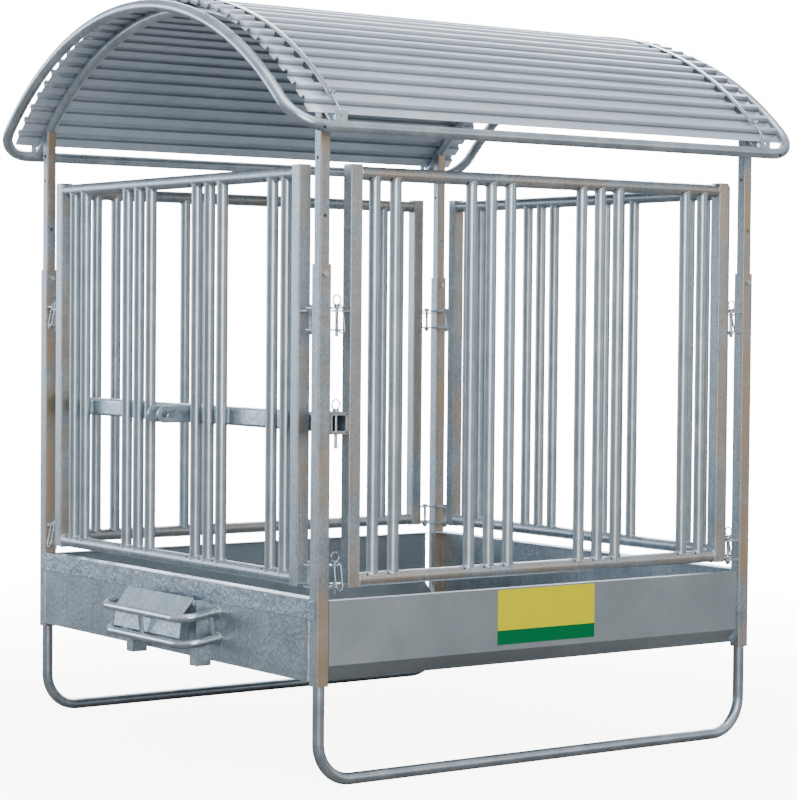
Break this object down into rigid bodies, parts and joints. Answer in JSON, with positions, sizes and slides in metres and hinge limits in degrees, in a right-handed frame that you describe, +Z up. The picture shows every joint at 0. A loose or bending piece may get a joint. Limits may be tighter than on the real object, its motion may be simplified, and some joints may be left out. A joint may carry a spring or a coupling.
{
  "type": "bale feeder",
  "caption": "Square galvanised feeder on skids for hay bales, with a low trough, barred fences that swing open, a tractor hitch and an arched roof on telescopic posts.",
  "frame": {"origin": "ground level under the middle of the feeder", "axes": "+Z up; +X along the skids, with the tractor hitch at -X; the plated trough wall faces -Y"},
  "size_m": [2.4004, 2.2444, 2.8337],
  "materials": {
    "galvanised_tube": "hot-dip galvanised",
    "galvanised_bar": "hot-dip galvanised, smooth",
    "galvanised_plate": "hot-dip galvanised, spangled",
    "trough_sheet": "galvanised sheet, matte grey",
    "roof_sheet": "aluminium-zinc coated sheet",
    "zinc_hardware": "zinc plated",
    "plain_plate": "gloss film, plain yellow with a green band"
  },
  "bodies": {
    "feeder": {"skid_front": "galvanised_tube", "skid_back": "galvanised_tube", "post_front_left": "galvanised_tube", "post_front_right": "galvanised_tube", "post_back_left": "galvanised_tube", "post_back_right": "galvanised_tube", "tabs_front_left": "galvanised_tube", "tabs_front_right": "galvanised_tube", "tabs_back_left": "galvanised_tube", "tabs_back_right": "galvanised_tube", "trough_front": "trough_sheet", "trough_back": "trough_sheet", "trough_left": "trough_sheet", "trough_right": "trough_sheet", "trough_floor": "trough_sheet", "rim_angle_left": "galvanised_plate", "rim_angle_right": "galvanised_plate", "hitch_guard": "galvanised_tube", "hitch_deflector": "galvanised_plate", "hitch_cheeks": "galvanised_plate", "bar_sleeves": "galvanised_tube", "hinge_bolts": "zinc_hardware", "clamp_bolts": "zinc_hardware", "name_plate": "plain_plate", "top_link_bar": "galvanised_tube", "top_link_plates": "galvanised_plate"},
    "fence_front": {"fence_front_frame": "galvanised_tube", "fence_front_bars": "galvanised_bar"},
    "lock_pin_front_upper": {"lock_pin_front_upper": "zinc_hardware"},
    "lock_pin_front_lower": {"lock_pin_front_lower": "zinc_hardware"},
    "fence_right": {"fence_right_frame": "galvanised_tube", "fence_right_bars": "galvanised_bar"},
    "lock_pin_right_upper": {"lock_pin_right_upper": "zinc_hardware"},
    "lock_pin_right_lower": {"lock_pin_right_lower": "zinc_hardware"},
    "fence_back": {"fence_back_frame": "galvanised_tube", "fence_back_bars": "galvanised_bar"},
    "lock_pin_back_upper": {"lock_pin_back_upper": "zinc_hardware"},
    "lock_pin_back_lower": {"lock_pin_back_lower": "zinc_hardware"},
    "fence_left": {"fence_left_frame": "galvanised_tube", "fence_left_bars": "galvanised_bar"},
    "lock_pin_left_upper": {"lock_pin_left_upper": "zinc_hardware"},
    "lock_pin_left_lower": {"lock_pin_left_lower": "zinc_hardware"},
    "bar_pin_front": {"bar_pin_front": "zinc_hardware"},
    "bar_pin_back": {"bar_pin_back": "zinc_hardware"},
    "roof": {"roof_post_front_left": "galvanised_tube", "roof_post_front_right": "galvanised_tube", "roof_post_back_left": "galvanised_tube", "roof_post_back_right": "galvanised_tube", "roof_arch_left": "galvanised_tube", "roof_arch_right": "galvanised_tube", "roof_gable_left": "galvanised_tube", "roof_gable_right": "galvanised_tube", "roof_eave_front": "galvanised_tube", "roof_eave_back": "galvanised_tube", "roof_sheet_front": "roof_sheet", "roof_sheet_top": "roof_sheet", "roof_sheet_back": "roof_sheet", "roof_strap_left": "galvanised_tube", "roof_strap_right": "galvanised_tube", "strap_tensioners": "zinc_hardware"}
  },
  "joints": [
    {"name": "fence_front_hinge", "type": "hinge", "parent": "feeder", "child": "fence_front", "pos_m": [0.935, -1, 1.672], "axis": [0, 0, 1], "range_deg": [0, 105]},
    {"name": "fence_right_hinge", "type": "hinge", "parent": "feeder", "child": "fence_right", "pos_m": [1, 0.935, 1.672], "axis": [0, 0, 1], "range_deg": [0, 105]},
    {"name": "fence_back_hinge", "type": "hinge", "parent": "feeder", "child": "fence_back", "pos_m": [0.935, 1, 1.672], "axis": [0, 0, -1], "range_deg": [0, 105]},
    {"name": "fence_left_hinge", "type": "hinge", "parent": "feeder", "child": "fence_left", "pos_m": [-1, -0.935, 1.672], "axis": [0, 0, 1], "range_deg": [0, 105]},
    {"name": "lock_pin_front_upper_pull", "type": "slide", "parent": "fence_front", "child": "lock_pin_front_upper", "axis": [0, 0, 1], "range_m": [0, 0.12]},
    {"name": "lock_pin_front_lower_pull", "type": "slide", "parent": "fence_front", "child": "lock_pin_front_lower", "axis": [0, 0, 1], "range_m": [0, 0.12]},
    {"name": "lock_pin_right_upper_pull", "type": "slide", "parent": "fence_right", "child": "lock_pin_right_upper", "axis": [0, 0, 1], "range_m": [0, 0.12]},
    {"name": "lock_pin_right_lower_pull", "type": "slide", "parent": "fence_right", "child": "lock_pin_right_lower", "axis": [0, 0, 1], "range_m": [0, 0.12]},
    {"name": "lock_pin_back_upper_pull", "type": "slide", "parent": "fence_back", "child": "lock_pin_back_upper", "axis": [0, 0, 1], "range_m": [0, 0.12]},
    {"name": "lock_pin_back_lower_pull", "type": "slide", "parent": "fence_back", "child": "lock_pin_back_lower", "axis": [0, 0, 1], "range_m": [0, 0.12]},
    {"name": "lock_pin_left_upper_pull", "type": "slide", "parent": "fence_left", "child": "lock_pin_left_upper", "axis": [0, 0, 1], "range_m": [0, 0.12]},
    {"name": "lock_pin_left_lower_pull", "type": "slide", "parent": "fence_left", "child": "lock_pin_left_lower", "axis": [0, 0, 1], "range_m": [0, 0.12]},
    {"name": "bar_pin_front_pull", "type": "slide", "parent": "feeder", "child": "bar_pin_front", "axis": [0, 0, 1], "range_m": [0, 0.14]},
    {"name": "bar_pin_back_pull", "type": "slide", "parent": "feeder", "child": "bar_pin_back", "axis": [0, 0, 1], "range_m": [0, 0.14]},
    {"name": "roof_height", "type": "slide", "parent": "feeder", "child": "roof", "axis": [0, 0, 1], "range_m": [-0.2, 0.3]}
  ]
}
